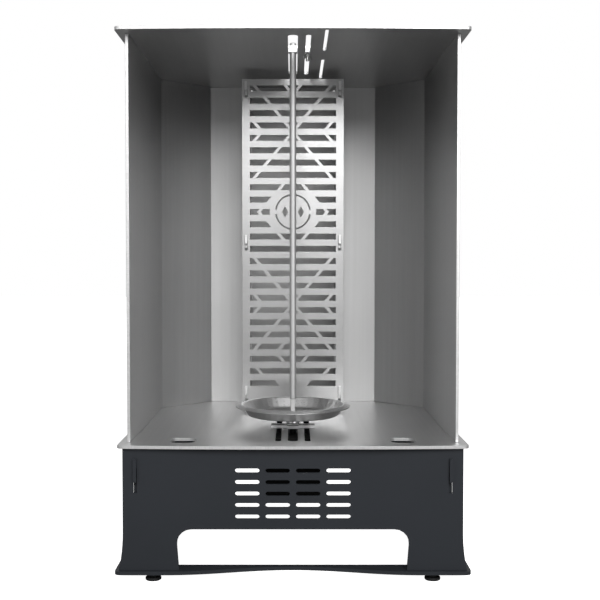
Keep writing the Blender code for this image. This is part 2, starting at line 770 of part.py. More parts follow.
def motor_plates(parent):
    top_z = CASE_Z[1] + GAP
    holes = [circle(0, 0, SHAFT_R + 0.4 * MM)]
    holes += [circle(side * STUD_X, 0, STUD_R + GAP, 16) for side in (-1, 1)]
    outline = round_rect(-CASE_HALF, CASE_HALF, CASE_Y[0] - SPIT_Y, CASE_Y[1] - SPIT_Y, 3 * MM, 3)
    sheet("motor_top_plate", outline, holes, 3 * MM, "black_paint", at=(0, SPIT_Y, top_z), parent=parent)
    vents = [slot(x * MM, -40 * MM, 30 * MM, 4 * MM, 4) for x in (-24, -12, 0, 12, 24)]
    sheet("motor_bottom_cover", outline, vents, THIN, "black_paint",
          at=(0, SPIT_Y, CASE_Z[0] - GAP - THIN), parent=parent)
    windows = [rect(-36 * MM, -14 * MM, 125 * MM, 141 * MM), rect(6 * MM, 34 * MM, 122 * MM, 143 * MM)]
    inner = CASE_HALF - THIN - GAP
    sheet("motor_rear_plate", rect(-inner, inner, *CASE_Z), windows, THIN, "black_paint",
          at=(0, CASE_Y[1], 0), turn=UPRIGHT, parent=parent)


def gearbox(parent):
    holes = [circle(0, 0, SHAFT_R + 0.4 * MM)]
    holes += [circle(side * STUD_X, 0, STUD_R + GAP, 16) for side in (-1, 1)]
    outline = round_rect(-34 * MM, 34 * MM, -36 * MM, 36 * MM, 5 * MM, 3)
    sheet("gearbox", outline, holes, 32 * MM, "zinc", at=(0, SPIT_Y, CASE_Z[1] - 32.5 * MM), parent=parent)
    can = [(16 * MM, 0), (18 * MM, 2 * MM), (18 * MM, 41 * MM), (16.5 * MM, 42.5 * MM)]
    add_object("motor_can", lathe(can), "zinc", at=(0, SPIT_Y, CASE_Z[0] + 1.5 * MM), parent=parent)


def carriage_studs(parent):
    low, high = CASE_Z[1] - 28 * MM, DECK_TOP + GAP + CARRIAGE_T
    for name, side in (("carriage_stud_left", -1), ("carriage_stud_right", 1)):
        profile = [(STUD_R, 0), (STUD_R, high - low - 0.5 * MM), (STUD_R - 0.5 * MM, high - low)]
        add_object(name, lathe(profile, count=16), "zinc", at=(side * STUD_X, SPIT_Y, low), parent=parent)


def power_inlet(parent):
    """A shrouded inlet: a cup with three flat pins joined to its floor, flush in the rear plate."""
    def frame(grow, y):
        return [(x, y, z) for x, z in round_rect(-13.5 * MM - grow, 13.5 * MM + grow,
                                                  -10 * MM - grow, 10 * MM + grow, 3 * MM + grow, 3)]
    rings = [frame(-4 * MM, -4 * MM), frame(-4 * MM, 14 * MM), frame(0, 14 * MM), frame(0, -8 * MM)]
    place = (20 * MM, CASE_Y[1] - 12 * MM, 132.5 * MM)
    cup = add_object("power_inlet", loft(rings), "black_plastic", at=place, parent=parent)
    for x, z in ((-5.5, -1.5), (0, 2), (5.5, -1.5)):
        pin = rect((x - 1) * MM, (x + 1) * MM, (z - 2) * MM, (z + 2) * MM)
        shape = sheet("pin_shape", pin, [], 13 * MM, "zinc",
                      at=(place[0], place[1] + 8 * MM, place[2]), turn=UPRIGHT, parent=parent)
        join_shape(cup, shape)


def rocker_switch(parent, rocker_parent, pivot):
    bezel = round_rect(-12.5 * MM, 12.5 * MM, -9.5 * MM, 9.5 * MM, 1.5 * MM, 2)
    hole = rect(-9.4 * MM, 9.4 * MM, -6.8 * MM, 6.8 * MM)
    sheet("switch_bezel", bezel, [hole], 2 * MM, "black_plastic",
          at=(pivot[0], CASE_Y[1] + GAP + 2 * MM, pivot[2]), turn=UPRIGHT, parent=parent)
    r, lean = 6.4 * MM, radians(8)
    arc = [(-r * cos(a), r * sin(a)) for a in [radians(-62 + 124 * i / 10) for i in range(11)]]
    face = [(3.4 * MM, 5.4 * MM), (2.6 * MM, 0), (3.4 * MM, -5.4 * MM)]
    profile = [(x * cos(lean) - z * sin(lean), x * sin(lean) + z * cos(lean)) for x, z in arc + face]
    bm = thicken(filled([profile]), 18 * MM)
    add_object("switch_rocker", bm, "black_plastic", at=(pivot[0] - 9 * MM, pivot[1], pivot[2]),
               turn=SIDEWAYS, parent=rocker_parent)


def output_shaft(parent):
    low, high = CASE_Z[1] - 30 * MM, SOCKET_Z + 4 * MM
    profile = [(SHAFT_R, 0), (SHAFT_R, high - low - 0.5 * MM), (SHAFT_R - 0.5 * MM, high - low)]
    add_object("output_shaft", lathe(profile, count=24), "zinc", at=(0, SPIT_Y, low), parent=parent)


def drive_socket(parent):
    """Fits over the shaft from below and takes the square end of the rod from above."""
    height, step = PAN_Z - GAP - SOCKET_Z, 4.5 * MM
    outer, bore, hole = 10 * MM, SHAFT_R + GAP, SHANK_HALF + GAP
    rings = [ring(outer - 0.5 * MM, 0), ring(outer, 0.5 * MM), ring(outer, height - 0.5 * MM),
             ring(outer - 0.5 * MM, height), square_ring(hole, height), square_ring(hole, step),
             ring(bore, step), ring(bore, 0)]
    add_object("drive_socket", loft(rings, closed=True), "stainless_bright",
               at=(0, SPIT_Y, SOCKET_Z), parent=parent)


def drip_pan(parent):
    """A pressed dish with a steep wall, a lip that slopes down outwards and a square hole for the rod."""
    floor_r, t = PAN_FLOOR_R, PAN_T
    lip_in, lip_out = PAN_LIP_R
    crest, edge = PAN_DEPTH, PAN_DEPTH - PAN_LIP_DROP
    top = [(floor_r - 0.6 * MM, t), (floor_r + 1.2 * MM, t + 0.5 * MM), (floor_r + 2.4 * MM, t + 2.2 * MM),
           (lip_in - 2.5 * MM, crest - 1.2 * MM), (lip_in - 1.4 * MM, crest - 0.2 * MM), (lip_in, crest),
           (lip_out - 0.4 * MM, edge)]
    under = [(lip_out, edge - 0.5 * MM), (lip_out - 0.5 * MM, edge - 1.3 * MM),
             (lip_in + 0.6 * MM, crest - 1.75 * MM), (lip_in - 0.5 * MM, crest - 1.9 * MM),
             (lip_in - 1.5 * MM, crest - 2.6 * MM), (floor_r + 3.7 * MM, t + 1.4 * MM),
             (floor_r + 2.3 * MM, 0.8 * MM), (floor_r, 0)]
    hole = SHANK_HALF + GAP
    rings = [square_ring(hole, 0, 48), square_ring(hole, t, 48)] + [ring(r, z, 48) for r, z in top + under]
    add_object("drip_pan", loft(rings, closed=True), "stainless_bright", at=(0, SPIT_Y, PAN_Z), parent=parent)


def spit_rod(parent):
    low = SOCKET_Z + 4.6 * MM
    rings = [square_ring(SHANK_HALF - 0.8 * MM, 0), square_ring(SHANK_HALF, 0.8 * MM),
             square_ring(SHANK_HALF, SHANK_TOP - low), ring(ROD_R - 0.6 * MM, SHANK_TOP - low),
             ring(ROD_R, SHANK_TOP - low + 1 * MM), ring(ROD_R, ROD_TOP - low - 1 * MM),
             ring(ROD_R - 1 * MM, ROD_TOP - low)]
    add_object("spit_rod", loft(rings), "stainless_bright", at=(0, SPIT_Y, low), parent=parent)


def guide_bar(parent):
    """Flat bar with a hole for the rod. Its keys hang in the roof slots and are joined to it."""
    rod_hole = circle(0, 0, ROD_R + 0.6 * MM)
    bar_z = ROOF_TOP + GAP
    bolt_hole = circle(ROOF_SLOT_B_X, BOLT_DY, BOLT_R + GAP, 16)
    bar = sheet("guide_bar", rect(*GUIDE_X, *GUIDE_Y), [rod_hole, bolt_hole], SHEET, "stainless",
                at=(0, SPIT_Y, bar_z), parent=parent)
    key_a = rect(-KEY_A_HALF, KEY_A_HALF, *KEY_Y)
    key_b = rect(ROOF_SLOT_B_X - KEY_B_HALF, ROOF_SLOT_B_X + KEY_B_HALF, KEY_Y[0], BOLT_DY - BOLT_R - GAP)
    for outline, holes in ((key_a, [rod_hole]), (key_b, [])):
        key = sheet("key_shape", outline, holes, bar_z + SHEET / 2 - ROOF_Z, "stainless",
                    at=(0, SPIT_Y, ROOF_Z), parent=parent)
        join_shape(bar, key)


def guide_bolt(parent, place):
    """Button head on the guide bar, shank down through roof slot B."""
    top = ROOF_TOP + 2 * GAP + SHEET
    low = ROOF_Z - BOLT_BELOW
    profile = [(BOLT_R - 0.5 * MM, low), (BOLT_R, low + 0.5 * MM), (BOLT_R, top), (5 * MM, top),
               (5 * MM, top + 0.8 * MM), (4 * MM, top + 2.2 * MM), (2 * MM, top + 2.8 * MM)]
    local = [(r, z - place[2]) for r, z in profile]
    add_object("guide_bolt", lathe(local, count=20), "zinc", at=place, parent=parent)


def wing_nut(parent, place):
    """Hub with two hanging wings, joined into one solid. It rests with its wings turned by 55 degrees."""
    lean = radians(55)
    bore = BOLT_R + GAP
    hub = [(4.4 * MM, 0), (4.4 * MM, -2 * MM), (3.9 * MM, -5 * MM), (bore, -5 * MM), (bore, 0)]
    nut = add_object("wing_nut", lathe(hub, closed=True, count=24), "zinc", at=place, parent=parent)
    wing_t = 2.2 * MM
    corners = [(3.4, -0.8, 0.5), (6, -2, 0.8), (10.6, -4.8, 1.6),
               (10.6, -8.4, 1.2), (7.6, -8.4, 1), (3.4, -4.4, 0.3)]
    for side in (-1, 1):
        outline = filleted([(side * x * MM, z * MM, r * MM) for x, z, r in corners], 3)
        bm = thicken(filled([outline]), wing_t)
        wing_at = (place[0] - wing_t / 2 * sin(lean), place[1] + wing_t / 2 * cos(lean), place[2])
        wing = add_object("wing_shape", bm, "zinc", at=wing_at, turn=(radians(90), 0, lean), parent=parent)
        join_shape(nut, wing)


# ---------------------------------------------------------------- assembly

def build():
    clear_scene()
    roof_plate()
    deck_plate()
    side_wall("left_wall", -1)
    side_wall("right_wall", 1)
    back_wall()
    firebox_side("firebox_left_side", -1)
    firebox_side("firebox_right_side", 1)
    firebox_floor()
    grate(joint_empty("grate_lift", (0, GRATE_Y, GRATE_Z[0])))

    end_panel("base_front_panel", -1, vent_slots())
    end_panel("base_rear_panel", 1, [])
    base_side_panel("base_left_panel", -1)
    base_side_panel("base_right_panel", 1)
    bottom_plate()
    corners = (("front_left", -1, -1), ("front_right", 1, -1), ("rear_left", -1, 1), ("rear_right", 1, 1))
    for where, sx, sy in corners:
        place = (sx * FOOT_X, sy * FOOT_Y, 0)
        levelling_foot("foot_" + where, place, joint_empty("turn_" + where, place))
        jam_nut("jam_nut_" + where, (place[0], place[1], BASE_Z0))

    carriage = joint_empty("carriage_slide", (0, SPIT_Y, DECK_TOP))
    spindle = joint_empty("spindle_turn", (0, SPIT_Y, SOCKET_Z), carriage)
    rod_lift = joint_empty("rod_lift", (0, SPIT_Y, SOCKET_Z), spindle)
    switch_pivot = (-25 * MM, CASE_Y[1], 133 * MM)
    rocker = joint_empty("switch_rock", switch_pivot, carriage)
    carriage_plate(carriage)
    bearing_block(carriage)
    motor_case(carriage)
    motor_plates(carriage)
    gearbox(carriage)
    carriage_studs(carriage)
    power_inlet(carriage)
    rocker_switch(carriage, rocker, switch_pivot)
    output_shaft(spindle)
    drive_socket(spindle)
    drip_pan(spindle)
    spit_rod(rod_lift)

    guide = joint_empty("guide_slide", (0, SPIT_Y, ROOF_TOP))
    guide_bar(guide)
    bolt_place = (ROOF_SLOT_B_X, SPIT_Y + BOLT_DY, ROOF_Z - GAP)
    guide_bolt(guide, bolt_place)
    wing_nut(joint_empty("wing_nut_turn", bolt_place, guide), bolt_place)


build()
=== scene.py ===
"""The looks of the vertical rotisserie oven: materials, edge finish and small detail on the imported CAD."""

import json
from math import cos, pi, radians, sin, tau

import bmesh
import bpy
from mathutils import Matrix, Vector


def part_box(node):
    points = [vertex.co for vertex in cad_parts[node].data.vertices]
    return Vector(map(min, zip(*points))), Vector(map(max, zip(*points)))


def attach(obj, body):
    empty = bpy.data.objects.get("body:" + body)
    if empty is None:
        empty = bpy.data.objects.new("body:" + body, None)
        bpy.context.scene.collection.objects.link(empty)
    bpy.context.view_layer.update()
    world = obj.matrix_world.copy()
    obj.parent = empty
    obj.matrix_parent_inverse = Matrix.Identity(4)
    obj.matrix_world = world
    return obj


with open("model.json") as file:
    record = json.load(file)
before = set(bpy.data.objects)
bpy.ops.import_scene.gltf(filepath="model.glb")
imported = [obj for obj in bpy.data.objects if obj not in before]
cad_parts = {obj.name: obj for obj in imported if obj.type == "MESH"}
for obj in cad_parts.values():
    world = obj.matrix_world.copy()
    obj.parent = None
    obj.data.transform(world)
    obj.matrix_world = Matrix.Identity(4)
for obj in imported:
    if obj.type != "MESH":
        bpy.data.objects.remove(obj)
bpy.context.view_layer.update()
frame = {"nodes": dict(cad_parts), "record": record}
nodes = frame["nodes"]
slots = {part["node"]: part["material_slot"] for part in frame["record"]["subparts"]}

MM = 0.001

# Camera, floor and light
CAMERA_PLACE = (0.0, -1.575, 0.439)
CAMERA_PITCH = 2.04           # degrees below level
SENSOR_WIDTH = 36.0
LENS = 59.22
LENS_SHIFT = (0.0118, 0.0005)
FLOOR_HALF = 12               # half the floor's width in metres
FLOOR_WHITE = 0.9             # the floor's colour as the camera sees it
FLOOR_SEEN_GLOW = 1.0         # its glow, for the camera alone
FLOOR_BOUNCE = 0.34           # its colour for the light that it throws up
FLOOR_ROUGH = 0.9
FLOOR_SHINE = 0.2
WORLD_SEEN = 1.0
WORLD_LIGHT = 0.36
LIGHT_TARGET = (0, 0, 0.4)
SOFTBOXES = {                 # place, size and power
    "key": ((0.6, -2.4, 1.7), (2.0, 1.4), 69),
    "fill": ((-1.8, -1.8, 1.3), (1.0, 1.4), 8),
    "rim": ((0.0, 2.4, 2.0), (2.0, 0.8), 8),
}

# Shades, with the roughness, shine and anisotropy that go with them
STEEL = (0.66, 0.66, 0.66)
WALL_ROUGH = 0.38
DECK_ROUGH = 0.40
# Painted shade: the roof's sheet steel is a darker copy of the wall steel, for its shaded underside
ROOF_STEEL_PAINTED_SHADE = (0.53, 0.53, 0.53)
# Painted shade: the back wall's sheet steel is a darker copy of the wall steel, for how dimly it is lit
BACK_STEEL_PAINTED_SHADE = (0.62, 0.62, 0.62)
BACK_ROUGH = 0.55
# Painted shade: the grate's sheet steel is a darker copy of the wall steel, for how dimly it is lit
GRATE_STEEL_PAINTED_SHADE = (0.52, 0.52, 0.52)
GRATE_ROUGH = 0.38
# Painted shade: the bright stainless plates get a dark shade to hold down the reflection they catch
PLATE_STEEL_PAINTED_SHADE = (0.36, 0.36, 0.36)
PLATE_ROUGH = 0.5
ROD_STEEL = (0.60, 0.60, 0.60)
ROD_ROUGH = 0.6
PAN_STEEL = (0.65, 0.65, 0.65)
PAN_ROUGH = 0.3
PAN_ANISOTROPY = 0.5
# Cut edges: a painted highlight, a lighter shade than the faces, over the real rougher striated cut
CUT_EDGE_HIGHLIGHT = (0.78, 0.78, 0.78)
CUT_ROUGH = 0.5
COAT = (0.0250, 0.0280, 0.0334)
COAT_ROUGH = 0.46
COAT_SHINE = 0.22
ZINC = (0.62, 0.63, 0.64)
ZINC_ROUGH = 0.34
MATT_ZINC_ROUGH = 0.55
# Painted shade: the output shaft and the carriage studs, zinc in the record, are painted near black so the
# deck slots they show through read as shadow
ZINC_PAINTED_BLACK_SHADE = (0.03, 0.03, 0.032)
ZINC_PAINTED_BLACK_SHADE_ROUGH = 0.45
BLACK = (0.012, 0.012, 0.013)
PLASTIC_ROUGH = 0.45
RUBBER_ROUGH = 0.6
MOULDED_SHINE = 0.5
# The motor's case: black paint, darkened to near zero as painted shade so the deck slots above it read as
# shadow
MOTOR_BLACK_AND_SLOT_SHADE = (0.005, 0.005, 0.005)
MOTOR_ROUGH = 0.6
MOTOR_SHINE = 0.15

# Noises, as scale per metre and detail
SCRATCHES = (2600.0, 3.0)
BANDS = (160.0, 2.0)
STEEL_CLOUD = (9.0, 3.0)
CUT_LINES = (1500.0, 2.0)
COAT_PEEL = (900.0, 2.0)
COAT_SPECK = (4200.0, 1.0)
COAT_CLOUD = (7.0, 3.0)
ZINC_DRIFT = (60.0, 2.0)
ZINC_GRAIN = (1600.0, 2.0)
MOULDED_GRAIN = (2400.0, 2.0)
MOULDED_CLOUD = (40.0, 2.0)
NOISE_RANGE = (0.3, 0.7)      # where nearly all of a noise lies

# Noises round a turned part, as scale per pitch and detail, with their pitches
TURNED_SCRATCHES = (1.0, 3.0)
TURNED_BANDS = (1.0, 1.0)
SCRATCH_PITCH = 1.2 * MM
BAND_PITCH = 12 * MM
TURNED_DRIFT = 20 * MM        # how wide the noise drifts on the way round

# How much darker the dark side of each grain is, and how much it changes the roughness
STEEL_DARK, CUT_DARK, COAT_DARK, MOULDED_DARK = 0.92, 0.85, 0.82, 0.75
ZINC_WARM = (1.0, 0.985, 0.94)
SCRATCH_SPREAD = (-0.04, 0.04)
CLOUD_SPREAD = (-0.02, 0.02)
CUT_SPREAD = (-0.06, 0.06)
COAT_SPREAD = (-0.04, 0.06)
ZINC_SPREAD = (-0.05, 0.06)
MOULDED_SPREAD = (-0.05, 0.08)

# Bumps, as strength and height
WALL_BUMP = (0.25, 0.08 * MM)
DECK_BUMP = (0.08, 0.08 * MM)
COAT_BUMP = (0.35, 0.12 * MM)
ZINC_BUMP = (0.15, 0.05 * MM)
MOULDED_BUMP = (0.3, 0.08 * MM)
SPECK_HEIGHT = 0.35           # of the orange peel's height

AXES = "xyz"
GRAIN_SCALES = {"x": (0.02, 1, 1), "y": (1, 0.02, 1), "z": (1, 1, 0.02)}
CUT_LINE_STRETCH = 0.08
EDGE_NORMAL_RANGE = (0.45, 0.62)    # the flat axis's part of a normal: a cut edge below, a face above

# Edges
EDGE_ROUND = 0.25 * MM
WALL_ROUND = 0.6 * MM         # for the bent walls and the firebox sides
COAT_ROUND = 0.05 * MM
ROUND_SEGMENTS = 2
WELD_GAP = 0.01 * MM
FLAT_ANGLE = radians(1)       # facets closer than this are one face
ROUND_ANGLE = radians(40)     # an edge sharper than this is rounded
SMOOTH_ANGLE = radians(35)    # and a new piece's edge sharper than this stays crisp

# Screws on the motor's case: the profile gives radius, height and whether the ring is a hexagon
SCREW_R, SCREW_H = 3.2 * MM, 2.0 * MM
SCREW_INSET = 6 * MM
SCREW_PROFILE = (
    (1, 0, False), (1, 0.35, False), (0.86, 0.8, False), (0.62, 1, False), (0.46, 1, True), (0.44, 0.3, True),
)
TURN_STEPS = 24

# Threads, with the gaps that they keep from what is below and above them
THREAD_STEPS = 24
THREAD_DEPTH, THREAD_HALF = 0.3, 0.4      # of the pitch
THREAD_SUNK = 0.2 * MM
FADE_STEPS = 8
STUD_R, STUD_PITCH = 4 * MM, 1.25 * MM
STUD_GAPS = (0.3 * MM, 0.8 * MM)
BOLT_R, BOLT_PITCH = 2.5 * MM, 0.8 * MM
BOLT_GAPS = (0.6 * MM, 0.3 * MM)
NUT_HUB_HEIGHT = 5 * MM


# ---------------------------------------------------------------- shader nodes

def new_material(name):
    material = bpy.data.materials.new(name)
    material.use_nodes = True
    tree = material.node_tree
    return material, tree, tree.nodes["Principled BSDF"]


def node(tree, kind, **values):
    made = tree.nodes.new(kind)
    for key, value in values.items():
        if key in made.inputs:
            made.inputs[key].default_value = value
        else:
            setattr(made, key, value)
    return made


def feed(tree, socket, value):
    """Link another node's output to a socket, or set the socket to a plain value."""
    if isinstance(value, bpy.types.NodeSocket):
        tree.links.new(value, socket)
    else:
        socket.default_value = value


def math_node(tree, operation, first, second):
    made = node(tree, "ShaderNodeMath", operation=operation)
    feed(tree, made.inputs[0], first)
    feed(tree, made.inputs[1], second)
    return made.outputs["Value"]


def remapped(tree, value, source, target):
    """Map the source range to the target range, and hold the target's ends beyond it."""
    made = node(tree, "ShaderNodeMapRange")
    tree.links.new(value, made.inputs["Value"])
    for key, number in zip(("From Min", "From Max", "To Min", "To Max"), (*source, *target)):
        made.inputs[key].default_value = number
    return made.outputs["Result"]


def spread(tree, value, low, high):
    """Map a noise from its usual middle range to low and high."""
    return remapped(tree, value, NOISE_RANGE, (low, high))


def half_and_half(tree, first, second):
    return math_node(tree, "ADD", math_node(tree, "MULTIPLY", first, 0.5),
                     math_node(tree, "MULTIPLY", second, 0.5))


def mixed(tree, factor, first, second):
    """A number that goes from first to second with the factor."""
    mix = node(tree, "ShaderNodeMix", data_type="FLOAT")
    for socket, value in ((0, factor), (2, first), (3, second)):
        feed(tree, mix.inputs[socket], value)
    return mix.outputs[0]


def mixed_colour(tree, factor, first, second):
    mix = node(tree, "ShaderNodeMix", data_type="RGBA")
    for socket, value in ((0, factor), (6, first), (7, second)):
        feed(tree, mix.inputs[socket], value)
    return mix.outputs[2]


def shaded(tree, factor, shade, dark):
    """A shade that the factor's low end darkens."""
    return mixed_colour(tree, factor, (*(c * dark for c in shade), 1), (*shade, 1))


def noise(tree, vector, scale, detail):
    made = node(tree, "ShaderNodeTexNoise", Scale=scale, Detail=detail)
    tree.links.new(vector, made.inputs["Vector"])
    return made.outputs["Fac"]


def place_in_metres(tree):
    return node(tree, "ShaderNodeTexCoord").outputs["Object"]


def stretched(tree, vector, scale):
    """Squeeze the coordinates, so that a noise gets long along the axis with the small scale."""
    mapping = node(tree, "ShaderNodeMapping", Scale=scale)
    tree.links.new(vector, mapping.inputs["Vector"])
    return mapping.outputs["Vector"]


def vector_math(tree, operation, first):
    made = node(tree, "ShaderNodeVectorMath", operation=operation)
    tree.links.new(first, made.inputs[0])
    return made


def around_axis(tree, centre, pitch):
    """Coordinates for marks that run round a vertical axis: radius, height, and a slow turn."""
    shift = vector_math(tree, "SUBTRACT", place_in_metres(tree))
    shift.inputs[1].default_value = centre
    parts = node(tree, "ShaderNodeSeparateXYZ")
    tree.links.new(shift.outputs["Vector"], parts.inputs["Vector"])
    flat = node(tree, "ShaderNodeCombineXYZ")
    tree.links.new(parts.outputs["X"], flat.inputs["X"])
    tree.links.new(parts.outputs["Y"], flat.inputs["Y"])
    length = vector_math(tree, "LENGTH", flat.outputs["Vector"])
    unit = vector_math(tree, "NORMALIZE", flat.outputs["Vector"])
    slow = vector_math(tree, "SCALE", unit.outputs["Vector"])
    slow.inputs["Scale"].default_value = TURNED_DRIFT / pitch
    offset = node(tree, "ShaderNodeCombineXYZ")
    tree.links.new(math_node(tree, "MULTIPLY", length.outputs["Value"], 1 / pitch), offset.inputs["X"])
    tree.links.new(math_node(tree, "MULTIPLY", parts.outputs["Z"], 1 / pitch), offset.inputs["Y"])
    total = vector_math(tree, "ADD", slow.outputs["Vector"])
    tree.links.new(offset.outputs["Vector"], total.inputs[1])
    return total.outputs["Vector"]


def bumped(tree, shader, height, strength, distance):
    bump = node(tree, "ShaderNodeBump", Strength=strength, Distance=distance)
    tree.links.new(height, bump.inputs["Height"])
    tree.links.new(bump.outputs["Normal"], shader.inputs["Normal"])


# ---------------------------------------------------------------- camera, floor and light

def add_camera():
    """The photograph's view: from the front, a little above the middle and looking slightly down."""
    data = bpy.data.cameras.new("camera")
    data.sensor_width = SENSOR_WIDTH
    data.lens = LENS
    data.shift_x, data.shift_y = LENS_SHIFT
    camera = bpy.data.objects.new("camera", data)
    camera.location = CAMERA_PLACE
    camera.rotation_euler = (radians(90 - CAMERA_PITCH), 0, 0)
    bpy.context.collection.objects.link(camera)
    bpy.context.scene.camera = camera


def seen_or_not(tree, seen, other):
    """One number where the camera sees a surface itself, and another for the light it gives."""
    is_seen = node(tree, "ShaderNodeLightPath").outputs["Is Camera Ray"]
    return remapped(tree, is_seen, (0, 1), (other, seen))


def add_world():
    world = bpy.data.worlds.new("studio")
    bpy.context.scene.world = world
    world.use_nodes = True
    tree = world.node_tree
    background = tree.nodes["Background"]
    background.inputs["Color"].default_value = (1, 1, 1, 1)
    tree.links.new(seen_or_not(tree, WORLD_SEEN, WORLD_LIGHT), background.inputs["Strength"])


def add_floor():
    """A pale floor that looks white and throws only a little light up."""
    bm = bmesh.new()
    bmesh.ops.create_grid(bm, x_segments=1, y_segments=1, size=FLOOR_HALF)
    mesh = bpy.data.meshes.new("floor")
    bm.to_mesh(mesh)
    bm.free()
    floor = bpy.data.objects.new("floor", mesh)
    bpy.context.collection.objects.link(floor)
    material, tree, shader = new_material("floor_white")
    tree.links.new(seen_or_not(tree, FLOOR_WHITE, FLOOR_BOUNCE), shader.inputs["Base Color"])
    shader.inputs["Roughness"].default_value = FLOOR_ROUGH
    shader.inputs["Specular IOR Level"].default_value = FLOOR_SHINE
    shader.inputs["Emission Color"].default_value = (1, 1, 1, 1)
    tree.links.new(seen_or_not(tree, FLOOR_SEEN_GLOW, 0.0), shader.inputs["Emission Strength"])
    mesh.materials.append(material)


def add_lights():
    for name, (place, size, power) in SOFTBOXES.items():
        data = bpy.data.lights.new(name, "AREA")
        data.shape = "RECTANGLE"
        data.size, data.size_y = size
        data.energy = power
        lamp = bpy.data.objects.new(name, data)
        lamp.location = place
        lamp.rotation_mode = "QUATERNION"
        lamp.rotation_quaternion = (Vector(LIGHT_TARGET) - Vector(place)).to_track_quat("-Z", "Y")
        bpy.context.collection.objects.link(lamp)


# ---------------------------------------------------------------- materials

def on_cut_edge(tree, flat_axis):
    """1 on the cut thickness of a sheet and 0 on its two faces, whose normals lie along flat_axis."""
    parts = node(tree, "ShaderNodeSeparateXYZ")
    tree.links.new(node(tree, "ShaderNodeTexCoord").outputs["Normal"], parts.inputs["Vector"])
    along = math_node(tree, "ABSOLUTE", parts.outputs[AXES.index(flat_axis)], 0.0)
    return remapped(tree, along, EDGE_NORMAL_RANGE, (1.0, 0.0))


def cut_striations(tree, place, flat_axis):
    """Fine lines that run straight through the thickness of a sheet."""
    scale = [1.0, 1.0, 1.0]
    scale[AXES.index(flat_axis)] = CUT_LINE_STRETCH
    return noise(tree, stretched(tree, place, scale), *CUT_LINES)


def brushed_metal(name, grain, shade, roughness, flat_axis=None, bump=WALL_BUMP, anisotropy=0.0, centre=None):
    """Ground metal: fine scratches one way, broad faint bands and slow clouding.

    A sheet also has rougher, striated cut edges, given a lighter shade as a painted highlight.
    """
    material, tree, shader = new_material(name)
    place = place_in_metres(tree)
    if grain == "round":
        fine = noise(tree, around_axis(tree, centre, SCRATCH_PITCH), *TURNED_SCRATCHES)
        broad = noise(tree, around_axis(tree, centre, BAND_PITCH), *TURNED_BANDS)
    else:
        along = stretched(tree, place, GRAIN_SCALES[grain])
        fine, broad = noise(tree, along, *SCRATCHES), noise(tree, along, *BANDS)
    cloud = noise(tree, place, *STEEL_CLOUD)
    colour = shaded(tree, spread(tree, half_and_half(tree, fine, broad), 0.0, 1.0), shade, STEEL_DARK)
    rough = math_node(tree, "ADD", spread(tree, fine, *SCRATCH_SPREAD), spread(tree, cloud, *CLOUD_SPREAD))
    rough = math_node(tree, "ADD", rough, roughness)
    height = fine
    if flat_axis:
        edge = on_cut_edge(tree, flat_axis)
        lines = cut_striations(tree, place, flat_axis)
        # The cut edge's lighter shade is a painted highlight; its striations and roughness are the real cut
        edge_highlight_colour = shaded(tree, spread(tree, lines, 0.0, 1.0), CUT_EDGE_HIGHLIGHT, CUT_DARK)
        edge_rough = spread(tree, lines, CUT_ROUGH + CUT_SPREAD[0], CUT_ROUGH + CUT_SPREAD[1])
        colour = mixed_colour(tree, edge, colour, edge_highlight_colour)
        rough = mixed(tree, edge, rough, edge_rough)
        height = mixed(tree, edge, fine, lines)
    tree.links.new(colour, shader.inputs["Base Color"])
    tree.links.new(rough, shader.inputs["Roughness"])
    shader.inputs["Metallic"].default_value = 1.0
    shader.inputs["Anisotropic"].default_value = anisotropy
    bumped(tree, shader, height, *bump)
    return material


def powder_coat(name, shade, roughness, shine):
    """Baked powder: a fine orange peel with a soft sheen."""
    material, tree, shader = new_material(name)
    place = place_in_metres(tree)
    peel, speck, cloud = (noise(tree, place, *kind) for kind in (COAT_PEEL, COAT_SPECK, COAT_CLOUD))
    colour = shaded(tree, spread(tree, half_and_half(tree, speck, cloud), 0.0, 1.0), shade, COAT_DARK)
    tree.links.new(colour, shader.inputs["Base Color"])
    rough = math_node(tree, "ADD", spread(tree, peel, *COAT_SPREAD), roughness)
    tree.links.new(rough, shader.inputs["Roughness"])
    shader.inputs["Specular IOR Level"].default_value = shine
    height = math_node(tree, "ADD", peel, math_node(tree, "MULTIPLY", speck, SPECK_HEIGHT))
    bumped(tree, shader, height, *COAT_BUMP)
    return material


def plated(name, shade, roughness):
    """Zinc plate: slow colour drift and a faint spangle."""
    material, tree, shader = new_material(name)
    place = place_in_metres(tree)
    drift, grain = noise(tree, place, *ZINC_DRIFT), noise(tree, place, *ZINC_GRAIN)
    warm = [c * part for c, part in zip(shade, ZINC_WARM)]
    colour = mixed_colour(tree, spread(tree, drift, 0.0, 1.0), (*warm, 1), (*shade, 1))
    tree.links.new(colour, shader.inputs["Base Color"])
    rough = spread(tree, grain, roughness + ZINC_SPREAD[0], roughness + ZINC_SPREAD[1])
    tree.links.new(rough, shader.inputs["Roughness"])
    shader.inputs["Metallic"].default_value = 1.0
    bumped(tree, shader, grain, *ZINC_BUMP)
    return material


def moulded(name, shade, roughness, shine=MOULDED_SHINE):
    """Moulded plastic, rubber or satin paint: a fine even grain."""
    material, tree, shader = new_material(name)
    place = place_in_metres(tree)
    grain, cloud = noise(tree, place, *MOULDED_GRAIN), noise(tree, place, *MOULDED_CLOUD)
    colour = shaded(tree, spread(tree, cloud, 0.0, 1.0), shade, MOULDED_DARK)
    tree.links.new(colour, shader.inputs["Base Color"])
    rough = spread(tree, grain, roughness + MOULDED_SPREAD[0], roughness + MOULDED_SPREAD[1])
    tree.links.new(rough, shader.inputs["Roughness"])
    shader.inputs["Specular IOR Level"].default_value = shine
    bumped(tree, shader, grain, *MOULDED_BUMP)
    return material


def middle_of(name):
    low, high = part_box(name)
    return (Vector(low) + Vector(high)) / 2


